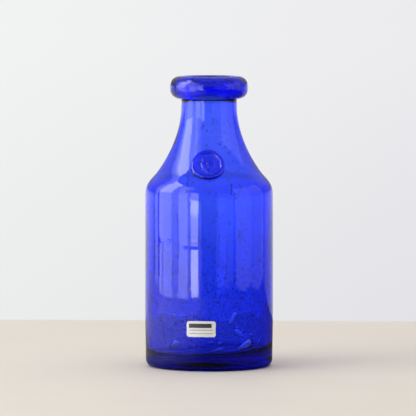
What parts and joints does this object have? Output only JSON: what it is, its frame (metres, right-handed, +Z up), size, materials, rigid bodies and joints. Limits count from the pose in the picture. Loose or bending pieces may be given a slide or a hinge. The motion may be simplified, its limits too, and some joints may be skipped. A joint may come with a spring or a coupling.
{
  "type": "glass bottle",
  "caption": "Straight-sided blown glass bottle with a flared shoulder, a thick rolled lip, a round stamped glass seal and a small paper label.",
  "frame": {"origin": "centre of the base, on the surface that the bottle stands on", "axes": "+Z up along the bottle's axis, towards the mouth; -Y is the front, where the seal and the label are; +X to the right seen from the front"},
  "size_m": [0.106, 0.1066, 0.24],
  "materials": {
    "cobalt_glass": "clear cobalt blue glass with seeds and blisters, fire polished",
    "lip_glass": "clear cobalt blue glass, fire polished",
    "seal_glass": "clear cobalt blue glass, chilled by the stamp",
    "label_paper": null
  },
  "bodies": {
    "root": {"bottle_body": "cobalt_glass", "lip_ring": "lip_glass", "seal_medallion": "seal_glass", "paper_label": "label_paper"}
  },
  "joints": []
}
